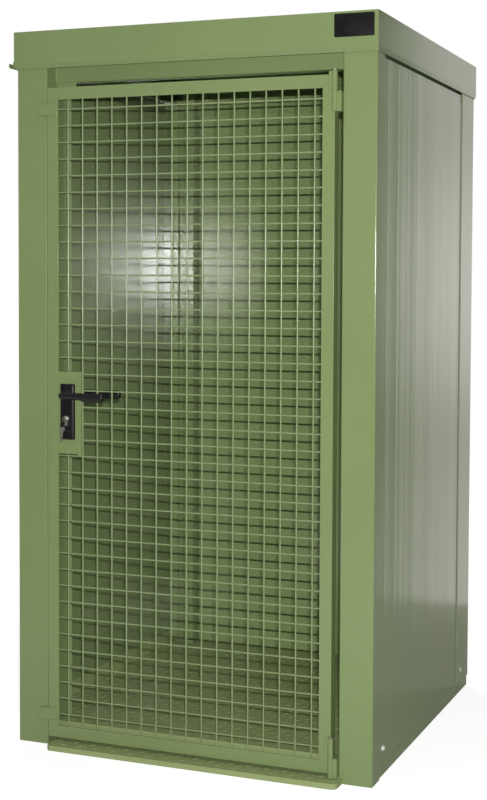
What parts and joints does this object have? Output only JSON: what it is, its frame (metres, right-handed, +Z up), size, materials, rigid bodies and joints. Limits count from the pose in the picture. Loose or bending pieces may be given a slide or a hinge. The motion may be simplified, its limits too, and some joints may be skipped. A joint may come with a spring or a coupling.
{
  "type": "gas cylinder cage",
  "caption": "Lockable cabinet for gas cylinders in folded green sheet steel, with a deep roof pan, closed side and rear walls, a floor tray and a hinged wire mesh door with a lever lock.",
  "frame": {"origin": "on the floor, under the middle of the overall box", "axes": "+Z up, the door faces -Y, the door hinges are on the +X side"},
  "size_m": [1.1784, 1.1958, 2.183],
  "materials": {
    "green_paint": "semi-gloss reseda green coating on folded sheet steel",
    "mesh_paint": "semi-gloss reseda green coating on welded wire",
    "black_plastic": "black nylon",
    "bright_steel": "nickel-plated brass and steel"
  },
  "bodies": {
    "body": {"floor_tray": "green_paint", "front_left_post": "green_paint", "front_right_post": "green_paint", "left_base_rail": "green_paint", "left_drip_rail": "green_paint", "left_top_rail": "green_paint", "left_wall": "green_paint", "lintel": "green_paint", "lower_hinge_pin": "bright_steel", "lower_hinge_post_half": "green_paint", "rear_base_rail": "green_paint", "rear_left_post": "green_paint", "rear_right_post": "green_paint", "rear_top_rail": "green_paint", "rear_wall": "green_paint", "right_base_rail": "green_paint", "right_top_rail": "green_paint", "right_wall": "green_paint", "roof_beam_1": "green_paint", "roof_beam_2": "green_paint", "roof_pan": "green_paint", "threshold_ramp": "green_paint", "threshold_sill": "green_paint", "upper_hinge_pin": "bright_steel", "upper_hinge_post_half": "green_paint"},
    "door": {"door_bottom_rail": "green_paint", "door_left_stile": "green_paint", "door_mesh_lower": "mesh_paint", "door_mesh_upper": "mesh_paint", "door_right_stile": "green_paint", "door_top_rail": "green_paint", "inner_escutcheon": "black_plastic", "lock_case": "green_paint", "lock_cylinder": "bright_steel", "lock_plate": "green_paint", "lower_hinge_door_half": "green_paint", "lower_stop_lug": "green_paint", "outer_escutcheon": "black_plastic", "upper_hinge_door_half": "green_paint", "upper_stop_lug": "green_paint"},
    "handle": {"outer_lever": "black_plastic", "inner_lever": "black_plastic", "lever_spindle": "bright_steel"}
  },
  "joints": [
    {"name": "door_hinge", "type": "hinge", "parent": "body", "child": "door", "pos_m": [0.46315, -0.54384, 1], "axis": [0, 0, 1], "range_deg": [0, 170]},
    {"name": "lever_turn", "type": "hinge", "parent": "door", "child": "handle", "pos_m": [-0.39035, -0.53454, 1.085], "axis": [0, 1, 0], "range_deg": [0, 45], "stiffness_Nm_per_rad": 1.5, "springref_deg": -20.05}
  ]
}
